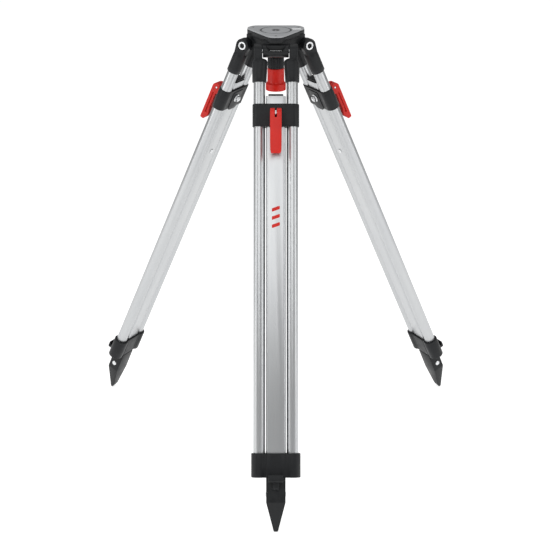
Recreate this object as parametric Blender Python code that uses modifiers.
"""Surveyor's tripod: flat head with a central fixing screw and three telescopic aluminium legs.

The origin is the centre of the head's top face, where the fixing screw's tip lies. +Z is up.
Each leg is modelled once, standing upright under its hinge, and a loop splays and repeats it.
In a leg's own space the origin is on the hinge axis, X runs along that axis, -Y points away
from the tripod's centre and -Z runs down the leg.
"""

import bpy
import bmesh
from math import acos, cos, pi, radians, sin, sqrt, tan
from mathutils import Matrix

# ---- driving dimensions, in metres ----
GAP = 0.0003               # clearance between pieces that touch
ROUND = 16                 # sides of a tube or sleeve
FINE = 12                  # sides of a bolt or rivet

SPLAY = radians(24.8)      # leg's angle from the vertical, as set up
LEG_TURNS = {"front": 0.0, "right": radians(120), "left": radians(-120)}

HEAD_VERTEX = 0.068        # from the axis to the rim over a leg
HEAD_FLAT = 0.0465         # from the axis to the rim between two legs
HEAD_CORNER = 0.022        # radius of the rim's corners
HEAD_THICKNESS = 0.014
TOP_THICKNESS = 0.0027
INSERT_RADIUS = 0.035
BOSS_RADIUS = 0.027
BOSS_BOTTOM = -0.040
LABEL_CENTRE = (0.047, 0.0125)
LABEL_HALF = (0.0085, 0.0052)
LABEL_DEPTH = 0.0008

HINGE_RADIUS = 0.0586      # from the tripod's axis to a hinge axis
HINGE_DROP = 0.0329        # hinge axis below the head's top
LUG_HALF_WIDTH = 0.028
LUG_RADIUS = 0.0140
LUG_CREST = radians(72)      # where the lug's round end runs out into the head
PIVOT_RADIUS = 0.005

SCREW_RADIUS = 0.00794     # 5/8 inch instrument thread
SCREW_NECK = 0.006
RING_TOP = -0.0177
RING_BOTTOM = -0.0217
RING_RADIUS = 0.0115
COLLAR_TOP = -0.057
KNOB_TOP = -0.084
KNOB_FLARE = -0.113
KNOB_BOTTOM = -0.133
COLLAR_RADIUS = 0.018
KNOB_RADIUS = 0.0185
FLARE_RADIUS = 0.0222

TUBE_RADIUS = 0.0125
TUBE_WALL = 0.0015
TUBE_OFFSET = 0.03535      # tube axis from the leg's middle
TUBE_TOP = -0.020
TUBE_BOTTOM = -0.905

CAP_RADIUS = 0.01525
CAP_BOTTOM = -0.0684
EAR_RADIUS = 0.0155
EAR_OUTER = 0.0472
EAR_WRAP = radians(12)
EAR_FOOT = (0.0078, -0.036)
HINGE_HEAD_RADIUS = 0.00935
COUNTERBORE = (0.011, 0.004)   # radius and depth

PROFILE_HALF = (0.021, 0.0105)
PROFILE_CORNER = 0.005
PROFILE_WALL = 0.002
PROFILE_TOP = -0.0989
PROFILE_BOTTOM = -0.9105
PLUG_HALF = (0.016, 0.008)
PLUG_TOP = -0.0945

GUIDE_RADIUS = 0.017
GUIDE_HALF_DEPTH = 0.0147
GUIDE_TOP = -0.8596
GUIDE_BOTTOM = -0.9108
STOP_RIVET = -0.290        # rivet on the profile that meets the guide at full extension
STOP_RADIUS = 0.006

CLAMP_RADIUS = 0.0148
CLAMP_TOP = -0.1160
CLAMP_BOTTOM = -0.1648
BOLT_RADIUS = 0.004
BOSS_FACE = 0.0175         # face that the lever's cam bears on, from the leg's mid plane
NUT_FACE = 0.016
BOSS_HALF_WIDTH = 0.014
BOSS_SPAN = (-0.1664, -0.1251)
NUT_PAD_HALF_WIDTH = 0.019
NUT_PAD_SPAN = (-0.1688, -0.1215)
PAD_ROOT = 0.0125          # depth at which both pads run into the clamp's web

LEVER_PIN = (-0.0333, -0.1390)  # y and z of the cam lever's pin
LEVER_HALF_WIDTH = 0.0123
CAM_RADIUS = 0.0155         # from the pin to the clamp's pad
CAM_RISE = 0.0100           # from the pin to the lever's top
LEVER_OUTER = -0.0445
LEVER_INNER = -0.0298
LEVER_BOTTOM = -0.2265
LEVER_LIP = (-0.0268, -0.2110)
LEVER_HANDLE_END = -0.2040     # where the handle's inner face meets the lip
SLOT_FOOT = -0.0110        # slot's lower end, below the pin
SLOT_HALF = 0.00225
EYE_HALF = 0.00195
EYE_RADIUS = 0.006
PIN_RADIUS = 0.0025

FOOT_HALF = (0.0205, 0.0147)
FOOT_TOP = -0.9111
FOOT_SHOULDER = -0.963
FOOT_TIP = (0.0095, -1.0258)    # y and z of the tip, on the leg's inner side
TIP_HALF = 0.0052
PEDAL_REACH = -0.0367
PEDAL_CREST = -0.9037        # top of the pedal's turned-up end
PEDAL_UNDERSIDE = -0.9188
GUSSET_REACH = -0.0250
GUSSET_FOOT = -0.9350
GUSSET_HALF_WIDTH = 0.0065
PEDAL_HALF_WIDTH = 0.0155
FOOT_CHIN = (0.0162, -1.0133)
FOOT_BACK = (0.0156, -0.973)
FOOT_RIVET = (-0.0004, -0.9465)
RIVET_RADIUS = 0.0055

# ---- finishes: colour, roughness, metallic ----
FINISHES = {
    "aluminium": ((0.78, 0.79, 0.80), 0.32, 1.0),
    "head_metal": ((0.24, 0.25, 0.26), 0.45, 0.6),
    "black_plastic": ((0.022, 0.024, 0.026), 0.5, 0.0),
    "red_plastic": ((0.62, 0.03, 0.02), 0.35, 0.0),
    "steel": ((0.66, 0.67, 0.68), 0.25, 1.0),
    "label_grey": ((0.55, 0.56, 0.57), 0.5, 0.0),
}

# How an outline's (u, v) and its thickness are laid along X, Y and Z.
LAID_ALONG = {
    "X": Matrix(((0, 0, 1, 0), (1, 0, 0, 0), (0, 1, 0, 0), (0, 0, 0, 1))),
    "Y": Matrix(((1, 0, 0, 0), (0, 0, -1, 0), (0, 1, 0, 0), (0, 0, 0, 1))),
    "Z": Matrix.Identity(4),
}


# ---- scene, collections and materials ----
def empty_scene():
    for thing in list(bpy.data.objects):
        bpy.data.objects.remove(thing, do_unlink=True)


def new_collection(name):
    group = bpy.data.collections.new(name)
    bpy.context.scene.collection.children.link(group)
    return group


def make_materials():
    made = {}
    for name, (colour, roughness, metallic) in FINISHES.items():
        material = bpy.data.materials.new(name)
        material.use_nodes = True
        shader = material.node_tree.nodes["Principled BSDF"]
        shader.inputs["Base Color"].default_value = (*colour, 1.0)
        shader.inputs["Roughness"].default_value = roughness
        shader.inputs["Metallic"].default_value = metallic
        made[name] = material
    return made


# ---- outlines, as lists of (u, v) points running anticlockwise ----
def arc(centre, radius, start, end, steps):
    """Points on an arc; radius is one number or two half axes, the angles are in radians."""
    wide, high = radius if isinstance(radius, tuple) else (radius, radius)
    turns = [start + (end - start) * step / steps for step in range(steps + 1)]
    return [(centre[0] + wide * cos(turn), centre[1] + high * sin(turn)) for turn in turns]


def circle(centre, radius, sides):
    return arc(centre, radius, 0.0, 2 * pi * (sides - 1) / sides, sides - 1)


def rounded_rectangle(half_u, half_v, radius, steps=3):
    points = []
    for quarter, (side_u, side_v) in enumerate(((1, 1), (-1, 1), (-1, -1), (1, -1))):
        centre = (side_u * (half_u - radius), side_v * (half_v - radius))
        points += arc(centre, radius, quarter * pi / 2, (quarter + 1) * pi / 2, steps)
    return points


def head_outline(inset=0.0):
    """Six-sided rim: a short flat over each leg, a long flat between legs, round corners."""
    vertex = HEAD_VERTEX - inset
    flat = HEAD_FLAT - inset
    radius = HEAD_CORNER - inset
    half = (flat - vertex * cos(pi / 3)) / sin(pi / 3) - radius * tan(pi / 6)
    points = []
    for turn in sorted(LEG_TURNS.values()):
        facing = turn - pi / 2
        out = (cos(facing), sin(facing))
        for side in (-1, 1):
            centre = (out[0] * (vertex - radius) - side * half * out[1],
                      out[1] * (vertex - radius) + side * half * out[0])
            start = facing - pi / 3 if side < 0 else facing
            points += arc(centre, radius, start, start + pi / 3, 4)
    return points


def twin_lobes(lobe_radius, half_depth):
    """Two round lobes over the tubes, joined by a web of the given half depth."""
    reach = acos(-sqrt(lobe_radius ** 2 - half_depth ** 2) / lobe_radius)
    right = arc((TUBE_OFFSET, 0), lobe_radius, -reach, reach, 14)
    return right + [(-u, -v) for u, v in right]


# ---- meshes ----
def weld(mesh):
    cage = bmesh.new()
    cage.from_mesh(mesh)
    bmesh.ops.remove_doubles(cage, verts=cage.verts, dist=0.00001)
    bmesh.ops.recalc_face_normals(cage, faces=cage.faces)
    cage.to_mesh(mesh)
    cage.free()


def slab(loops, low, high, along="Z"):
    """Flat outline with a thickness; the first loop is the rim and the others are holes."""
    curve = bpy.data.curves.new("outline", "CURVE")
    curve.dimensions = "2D"
    curve.fill_mode = "BOTH"
    curve.extrude = (high - low) / 2
    for points in loops:
        spline = curve.splines.new("POLY")
        spline.points.add(len(points) - 1)
        for point, (u, v) in zip(spline.points, points):
            point.co = (u, v, 0.0, 1.0)
        spline.use_cyclic_u = True
    blank = bpy.data.objects.new("outline", curve)
    bpy.context.scene.collection.objects.link(blank)
    graph = bpy.context.evaluated_depsgraph_get()
    mesh = bpy.data.meshes.new_from_object(blank.evaluated_get(graph))
    bpy.data.objects.remove(blank)
    bpy.data.curves.remove(curve)
    weld(mesh)
    middle = (low + high) / 2 * (-1 if along == "Y" else 1)
    mesh.transform(LAID_ALONG[along] @ Matrix.Translation((0, 0, middle)))
    return mesh


def block(low, high):
    """Box between two corners."""
    mesh = bpy.data.meshes.new("block")
    cage = bmesh.new()
    bmesh.ops.create_cube(cage, size=1.0)
    for vertex in cage.verts:
        vertex.co = [a + (b - a) * (c + 0.5) for a, b, c in zip(low, high, vertex.co)]
    cage.to_mesh(mesh)
    cage.free()
    return mesh


def rod(radius, low, high, along, centre=(0.0, 0.0), sides=ROUND):
    """Cylinder along an axis, through the point centre of the plane across it."""
    return slab([circle(centre, radius, sides)], low, high, along)


# ---- objects ----
class Workshop:
    """Makes the tripod's objects and remembers the frame that they are parented to."""

    def __init__(self):
        self.parts = new_collection("surveyor_tripod")
        self.cutters = new_collection("cutters")
        self.materials = make_materials()
        self.parent = None
        self.suffix = ""

    def frame(self, name, suffix, location=(0, 0, 0), rotation=(0, 0, 0), parent=None):
        """Empty that the next pieces hang on."""
        empty = bpy.data.objects.new(name, None)
        empty.empty_display_size = 0.03
        empty.location = location
        empty.rotation_euler = rotation
        empty.parent = parent
        self.parts.objects.link(empty)
        self.parent = empty
        self.suffix = suffix
        return empty

    def add(self, name, mesh, finish):
        """A piece of the tripod, in the current frame."""
        piece = bpy.data.objects.new(name + self.suffix, mesh)
        piece.parent = self.parent
        mesh.materials.clear()
        mesh.materials.append(self.materials[finish])
        self.parts.objects.link(piece)
        mesh.shade_smooth()
        mesh.set_sharp_from_angle(angle=radians(30))
        return piece

    def turn(self, name, profile, finish, along="Z", sides=FINE):
        """Turned piece: profile holds (radius, height) from top to bottom."""
        mesh = bpy.data.meshes.new(name)
        points = [(radius, 0.0, height) for radius, height in profile]
        edges = [(i, i + 1) for i in range(len(points) - 1)]
        if profile[0][0] > 0:
            edges.append((len(points) - 1, 0))
        mesh.from_pydata(points, edges, [])
        piece = self.add(name, mesh, finish)
        screw = piece.modifiers.new("Screw", "SCREW")
        screw.steps = sides
        screw.render_steps = sides
        screw.use_merge_vertices = True
        screw.merge_threshold = 0.00001
        if along == "X":
            piece.rotation_euler = (0, pi / 2, 0)
        if along == "Y":
            piece.rotation_euler = (pi / 2, 0, 0)
        return piece

    def shape(self, piece, operation, mesh):
        """Boolean modifier with a hidden tool made from mesh, given in the frame's space."""
        tool = bpy.data.objects.new(piece.name + "_" + operation.lower(), mesh)
        tool.parent = piece.parent
        tool.hide_render = True
        tool.display_type = "WIRE"
        self.cutters.objects.link(tool)
        modifier = piece.modifiers.new(operation.title(), "BOOLEAN")
        modifier.operation = operation
        modifier.object = tool

    def cut(self, piece, *meshes):
        for mesh in meshes:
            self.shape(piece, "DIFFERENCE", mesh)

    def join(self, piece, *meshes):
        for mesh in meshes:
            self.shape(piece, "UNION", mesh)


# ---- head ----
def lug_outline():
    """Side view of a lug: u is the distance from the axis, v the height."""
    barrel = arc((HINGE_RADIUS, -HINGE_DROP), LUG_RADIUS, -pi / 2, LUG_CREST, 8)
    inside = BOSS_RADIUS - 0.012
    web_bottom = -HINGE_DROP - LUG_RADIUS + 0.003
    crest = HINGE_RADIUS - 0.0006
    return [(inside, -0.010), (inside, web_bottom)] + barrel + [(crest, -0.018), (crest, -0.010)]


def head_body(shop):
    plate = slab([head_outline()], -HEAD_THICKNESS, -TOP_THICKNESS - GAP)
    body = shop.add("head_body", plate, "black_plastic")
    shop.join(body, rod(BOSS_RADIUS, BOSS_BOTTOM, -0.010, "Z"))
    for turn in LEG_TURNS.values():
        lug = slab([lug_outline()], -LUG_HALF_WIDTH, LUG_HALF_WIDTH, "X")
        lug.transform(Matrix.Rotation(turn, 4, "Z") @ Matrix.Rotation(pi, 4, "Z"))
        shop.join(body, lug)
    for turn in LEG_TURNS.values():
        pivot = rod(PIVOT_RADIUS + GAP, -0.04, 0.04, "X", (-HINGE_RADIUS, -HINGE_DROP), FINE)
        pivot.transform(Matrix.Rotation(turn, 4, "Z"))
        shop.cut(body, pivot)
    shop.cut(body, rod(SCREW_RADIUS + GAP, BOSS_BOTTOM - 0.01, 0.0, "Z"))
    shop.cut(body, rod(RING_RADIUS + 0.0005, RING_BOTTOM - GAP, 0.0, "Z"))


def head_top(shop):
    rim = head_outline(0.0006)
    hole = circle((0, 0), INSERT_RADIUS, 2 * ROUND)
    plate = shop.add("top_plate", slab([rim, hole], -TOP_THICKNESS, 0.0), "head_metal")
    u, v = LABEL_CENTRE
    half_u, half_v = LABEL_HALF
    margin = 0.0003
    shop.cut(plate, block((u - half_u - margin, v - half_v - margin, -LABEL_DEPTH),
                          (u + half_u + margin, v + half_v + margin, 0.001)))
    insert = slab([circle((0, 0), INSERT_RADIUS - GAP, 2 * ROUND),
                   circle((0, 0), SCREW_RADIUS + GAP, ROUND)], -TOP_THICKNESS, 0.0)
    shop.add("centre_insert", insert, "head_metal")
    label = block((u - half_u, v - half_v, -LABEL_DEPTH + 0.0002), (u + half_u, v + half_v, 0.0))
    shop.add("blank_label", label, "label_grey")


def fixing_screw(shop):
    shop.turn("fixing_screw", [(0, 0), (SCREW_RADIUS, 0), (SCREW_RADIUS, COLLAR_TOP + GAP),
                               (SCREW_NECK, COLLAR_TOP + GAP), (SCREW_NECK, KNOB_FLARE + 0.002),
                               (0, KNOB_FLARE + 0.002)], "steel", sides=ROUND)
    bore = SCREW_NECK + GAP
    shop.turn("retaining_ring", [(SCREW_RADIUS + GAP, RING_TOP), (RING_RADIUS, RING_TOP),
                                 (RING_RADIUS, RING_BOTTOM), (SCREW_RADIUS + GAP, RING_BOTTOM)],
              "steel", sides=ROUND)
    shop.turn("knob_collar", [(bore, COLLAR_TOP), (COLLAR_RADIUS - 0.001, COLLAR_TOP),
                              (COLLAR_RADIUS, COLLAR_TOP - 0.001), (COLLAR_RADIUS, KNOB_TOP + GAP),
                              (bore, KNOB_TOP + GAP)], "black_plastic", sides=ROUND)
    shop.turn("knob", [(0, KNOB_FLARE + 0.0015), (bore, KNOB_FLARE + 0.0015), (bore, KNOB_TOP),
                       (KNOB_RADIUS, KNOB_TOP), (KNOB_RADIUS, KNOB_FLARE),
                       (FLARE_RADIUS, KNOB_FLARE - 0.005), (FLARE_RADIUS, KNOB_BOTTOM + 0.001),
                       (FLARE_RADIUS - 0.001, KNOB_BOTTOM), (0, KNOB_BOTTOM)],
              "red_plastic", sides=ROUND)


# ---- upper leg: two tubes, their caps, the hinge bolt and the guide ----
def tube_pair(shop):
    for letter, side in (("a", 1), ("b", -1)):
        centre = (side * TUBE_OFFSET, 0.0)
        rings = [circle(centre, TUBE_RADIUS, ROUND), circle(centre, TUBE_RADIUS - TUBE_WALL, ROUND)]
        shop.add("tube_" + letter, slab(rings, TUBE_BOTTOM, TUBE_TOP), "aluminium")


def between(side, near, far):
    """The two values in rising order, on the given side of the leg."""
    return sorted((side * near, side * far))


def tube_caps(shop):
    inner = LUG_HALF_WIDTH + 0.0005
    sleeve_top = -LUG_RADIUS - 0.0013
    for letter, side in (("a", 1), ("b", -1)):
        centre = (side * TUBE_OFFSET, 0.0)
        foot_of_ear = [(-EAR_FOOT[0], EAR_FOOT[1]), EAR_FOOT]
        outline = arc((0, 0), EAR_RADIUS, -EAR_WRAP, pi + EAR_WRAP, 12) + foot_of_ear
        cap = shop.add("cap_" + letter, slab([outline], *between(side, inner, EAR_OUTER), "X"),
                       "black_plastic")
        shop.join(cap, rod(CAP_RADIUS, CAP_BOTTOM, sleeve_top, "Z", centre))
        bore = rod(TUBE_RADIUS + GAP, CAP_BOTTOM - 0.01, TUBE_TOP + GAP, "Z", centre)
        pivot = rod(PIVOT_RADIUS + GAP, *between(side, 0.02, 0.06), "X", sides=FINE)
        radius, depth = COUNTERBORE
        recess = rod(radius, *between(side, EAR_OUTER - depth, 0.06), "X", sides=ROUND)
        shop.cut(cap, bore, pivot, recess)


def hinge_fastener(shop):
    """Bolt through both caps and the lug, with a threaded stud screwed into its far end."""
    seat = EAR_OUTER - COUNTERBORE[1] + GAP
    face = EAR_OUTER - 0.0003
    stud = 0.003
    bolt = shop.turn("hinge_bolt", [(0, face), (HINGE_HEAD_RADIUS, face), (HINGE_HEAD_RADIUS, seat),
                                    (PIVOT_RADIUS, seat), (PIVOT_RADIUS, GAP - seat),
                                    (stud + GAP, GAP - seat), (stud + GAP, -0.024), (0, -0.024)],
                     "steel", "X")
    nut = shop.turn("hinge_nut", [(0, -0.0245), (stud, -0.0245), (stud, -seat),
                                  (HINGE_HEAD_RADIUS, -seat), (HINGE_HEAD_RADIUS, -face), (0, -face)],
                    "steel", "X")
    socket = 0.0046
    shop.cut(bolt, rod(socket, face - 0.0025, face + 0.01, "X", sides=6))
    shop.cut(nut, rod(socket, -face - 0.01, 0.0025 - face, "X", sides=6))


def profile_hole():
    return rounded_rectangle(PROFILE_HALF[0] + GAP, PROFILE_HALF[1] + GAP, PROFILE_CORNER)


def guide(shop):
    """Block on the tubes' lower ends that the profile slides through."""
    outline = twin_lobes(GUIDE_RADIUS, GUIDE_HALF_DEPTH)
    body = shop.add("guide", slab([outline, profile_hole()], GUIDE_BOTTOM, GUIDE_TOP), "black_plastic")
    for side in (1, -1):
        centre = (side * TUBE_OFFSET, 0.0)
        shop.cut(body, rod(TUBE_RADIUS + GAP, TUBE_BOTTOM - GAP, GUIDE_TOP + 0.01, "Z", centre))


# ---- lower leg: sliding profile, clamp and foot ----
def sliding_profile(shop):
    wide, deep = PROFILE_HALF
    inside = rounded_rectangle(wide - PROFILE_WALL, deep - PROFILE_WALL, PROFILE_CORNER - PROFILE_WALL)
    outside = rounded_rectangle(wide, deep, PROFILE_CORNER)
    rail = shop.add("profile", slab([outside, inside], PROFILE_BOTTOM, PROFILE_TOP), "aluminium")
    shop.cut(rail, rod(BOLT_RADIUS + GAP, -0.03, 0.03, "Y", (0, LEVER_PIN[1]), FINE))
    shop.cut(rail, rod(0.003 + GAP, 0.005, 0.03, "Y", (0, STOP_RIVET), FINE))

    spigot = (wide - PROFILE_WALL - GAP, deep - PROFILE_WALL - GAP)
    neck = rounded_rectangle(*spigot, PROFILE_CORNER - PROFILE_WALL)
    plug = shop.add("profile_plug", slab([neck], PROFILE_TOP - 0.014, PROFILE_TOP), "black_plastic")
    cover = rounded_rectangle(*PLUG_HALF, 0.002)
    shop.join(plug, slab([cover], PROFILE_TOP - 0.002, PLUG_TOP))

    face = deep + GAP
    rivet = shop.turn("stop_rivet", [(0, face + 0.0022), (STOP_RADIUS - 0.001, face + 0.0022),
                                     (STOP_RADIUS, face + 0.001), (STOP_RADIUS, face),
                                     (0.003, face), (0.003, 0.006), (0, 0.006)], "steel", "Y")
    rivet.rotation_euler = (-pi / 2, 0, 0)
    rivet.location = (0, 0, STOP_RIVET)


def clamp(shop):
    """Clamp on top of the profile: it grips both tubes when the cam lever is shut."""
    loops = [twin_lobes(CLAMP_RADIUS, CLAMP_RADIUS - 0.0002), profile_hole()]
    for side in (1, -1):
        loops.append(circle((side * TUBE_OFFSET, 0.0), TUBE_RADIUS + GAP, ROUND))
    body = shop.add("clamp_body", slab(loops, CLAMP_BOTTOM, CLAMP_TOP), "black_plastic")
    shop.join(body, block((-BOSS_HALF_WIDTH, -BOSS_FACE, BOSS_SPAN[0]),
                          (BOSS_HALF_WIDTH, -PAD_ROOT, BOSS_SPAN[1])))
    shop.join(body, block((-NUT_PAD_HALF_WIDTH, PAD_ROOT, NUT_PAD_SPAN[0]),
                          (NUT_PAD_HALF_WIDTH, NUT_FACE, NUT_PAD_SPAN[1])))
    shop.cut(body, rod(BOLT_RADIUS + GAP, -0.04, 0.04, "Y", (0, LEVER_PIN[1]), FINE))


def clamp_bolt(shop):
    """Eye bolt across the clamp, with a flange nut on the leg's inner side."""
    pin_y, pin_z = LEVER_PIN
    end = NUT_FACE + 0.0085
    bolt = shop.add("clamp_bolt", rod(BOLT_RADIUS, -BOSS_FACE + 0.001, end, "Y", (0, pin_z), FINE),
                    "steel")
    tail = [(-BOSS_FACE + 0.003, pin_z - 0.0032), (-BOSS_FACE + 0.003, pin_z + 0.0032)]
    open_half = acos(0.8)
    eye = arc((pin_y, pin_z), EYE_RADIUS, open_half, 2 * pi - open_half, 12)
    hole = circle((pin_y, pin_z), PIN_RADIUS + GAP, 12)
    shop.join(bolt, slab([tail + eye, hole], -EYE_HALF, EYE_HALF, "X"))

    seat = NUT_FACE + GAP
    nut = shop.add("clamp_nut", rod(0.0090, seat, seat + 0.0018, "Y", (0, pin_z), ROUND), "steel")
    shop.join(nut, rod(0.0068, seat + 0.001, seat + 0.0068, "Y", (0, pin_z), 6))
    shop.cut(nut, rod(BOLT_RADIUS + GAP, 0.0, 0.04, "Y", (0, pin_z), FINE))


def lever_outline():
    """Side view of the cam lever, with y along u and z along v."""
    pin_y, pin_z = LEVER_PIN
    crown = pin_y - LEVER_OUTER
    meet = acos((LEVER_INNER - pin_y) / CAM_RADIUS)
    cam = arc(LEVER_PIN, CAM_RADIUS, -meet, 0.0, 8)
    top = arc(LEVER_PIN, (CAM_RADIUS, CAM_RISE), 0.0, pi / 2, 6)[1:]
    top += arc(LEVER_PIN, (crown, CAM_RISE), pi / 2, pi, 6)[1:]
    end = [(LEVER_OUTER - 0.0006, LEVER_BOTTOM + 0.003), (LEVER_OUTER + 0.002, LEVER_BOTTOM),
           (LEVER_INNER - 0.005, LEVER_BOTTOM)]
    lip = [LEVER_LIP, (LEVER_LIP[0] - 0.0002, LEVER_LIP[1] + 0.004), (LEVER_INNER, LEVER_HANDLE_END)]
    return cam + top + end + lip


def cam_lever(shop):
    pin_y, pin_z = LEVER_PIN
    shop.frame("lever_axis" + shop.suffix, shop.suffix, (0, pin_y, pin_z), parent=shop.parent)
    local = Matrix.Translation((0, -pin_y, -pin_z))
    blank = slab([lever_outline()], -LEVER_HALF_WIDTH, LEVER_HALF_WIDTH, "X")
    blank.transform(local)
    lever = shop.add("lever", blank, "red_plastic")
    slot = block((-SLOT_HALF, -0.02, SLOT_FOOT), (SLOT_HALF, 0.03, 0.02))
    shop.cut(lever, slot, rod(EYE_RADIUS + 0.0006, -SLOT_HALF, SLOT_HALF, "X", sides=ROUND))
    shop.cut(lever, rod(PIN_RADIUS + GAP, -0.02, 0.02, "X", sides=12))
    end = LEVER_HALF_WIDTH - 0.0001
    shop.turn("lever_pin", [(0, end), (PIN_RADIUS, end), (PIN_RADIUS, -end), (0, -end)],
              "steel", "X", 12)


def foot(shop):
    """Pointed shoe with a spigot in the profile and a pedal to tread it into the ground."""
    wide, deep = FOOT_HALF
    tip_y, tip_z = FOOT_TIP
    side_view = [(deep, FOOT_TOP), (-deep, FOOT_TOP), (-deep + 0.0022, FOOT_SHOULDER),
                 (tip_y - 0.0032, tip_z + 0.007), (tip_y - 0.001, tip_z), (tip_y + 0.003, tip_z),
                 FOOT_CHIN, FOOT_BACK]
    shoe = shop.add("foot", slab([side_view], -wide, wide, "X"), "black_plastic")
    front_view = [(wide, 0), (-wide, 0), (-wide, FOOT_SHOULDER), (-TIP_HALF, tip_z + 0.003),
                  (0.002 - TIP_HALF, tip_z - 0.001), (TIP_HALF - 0.002, tip_z - 0.001),
                  (TIP_HALF, tip_z + 0.003), (wide, FOOT_SHOULDER)]
    shop.shape(shoe, "INTERSECT", slab([front_view], -0.03, 0.03, "Y"))

    spigot = (PROFILE_HALF[0] - PROFILE_WALL - GAP, PROFILE_HALF[1] - PROFILE_WALL - GAP)
    neck = rounded_rectangle(*spigot, PROFILE_CORNER - PROFILE_WALL)
    shop.join(shoe, slab([neck], FOOT_TOP - 0.002, FOOT_TOP + 0.025))
    root = -deep + 0.002
    top = FOOT_TOP - 0.0012
    pedal = [(root, top), (PEDAL_REACH + 0.0049, top), (PEDAL_REACH + 0.0038, PEDAL_CREST),
             (PEDAL_REACH, PEDAL_CREST), (PEDAL_REACH, PEDAL_UNDERSIDE + 0.0015),
             (PEDAL_REACH + 0.0022, PEDAL_UNDERSIDE), (root, PEDAL_UNDERSIDE)]
    shop.join(shoe, slab([pedal], -PEDAL_HALF_WIDTH, PEDAL_HALF_WIDTH, "X"))
    gusset = [(root, PEDAL_UNDERSIDE + 0.003), (GUSSET_REACH - 0.0012, PEDAL_UNDERSIDE + 0.003),
              (GUSSET_REACH, GUSSET_FOOT + 0.0015), (GUSSET_REACH + 0.0025, GUSSET_FOOT),
              (root, GUSSET_FOOT - 0.0025)]
    shop.join(shoe, slab([gusset], -GUSSET_HALF_WIDTH, GUSSET_HALF_WIDTH, "X"))

    shop.cut(shoe, rod(0.004 + GAP, -0.03, 0.03, "X", FOOT_RIVET, FINE))
    head = wide + GAP
    rivet = shop.turn("foot_rivet", [(0, head + 0.0016), (0.0044, head + 0.0016), (0.0055, head + 0.0006),
                                     (0.0055, head), (0.004, head), (0.004, -head), (0.0055, -head),
                                     (0.0055, -head - 0.0006), (0.0044, -head - 0.0016),
                                     (0, -head - 0.0016)], "steel", "X")
    rivet.location = (0, *FOOT_RIVET)


# ---- assembly ----
def build_head(shop):
    shop.frame("head_frame", "")
    head_body(shop)
    head_top(shop)
    fixing_screw(shop)


def build_leg(shop, name, turn):
    suffix = "_" + name
    hinge = (HINGE_RADIUS * sin(turn), -HINGE_RADIUS * cos(turn), -HINGE_DROP)
    rotation = (-SPLAY, 0, turn)
    upper = shop.frame("upper_leg" + suffix, suffix, hinge, rotation)
    tube_pair(shop)
    tube_caps(shop)
    hinge_fastener(shop)
    guide(shop)
    shop.frame("lower_leg" + suffix, suffix, parent=upper)
    sliding_profile(shop)
    clamp(shop)
    clamp_bolt(shop)
    foot(shop)
    cam_lever(shop)


def main():
    empty_scene()
    shop = Workshop()
    build_head(shop)
    for name, turn in LEG_TURNS.items():
        build_leg(shop, name, turn)


main()
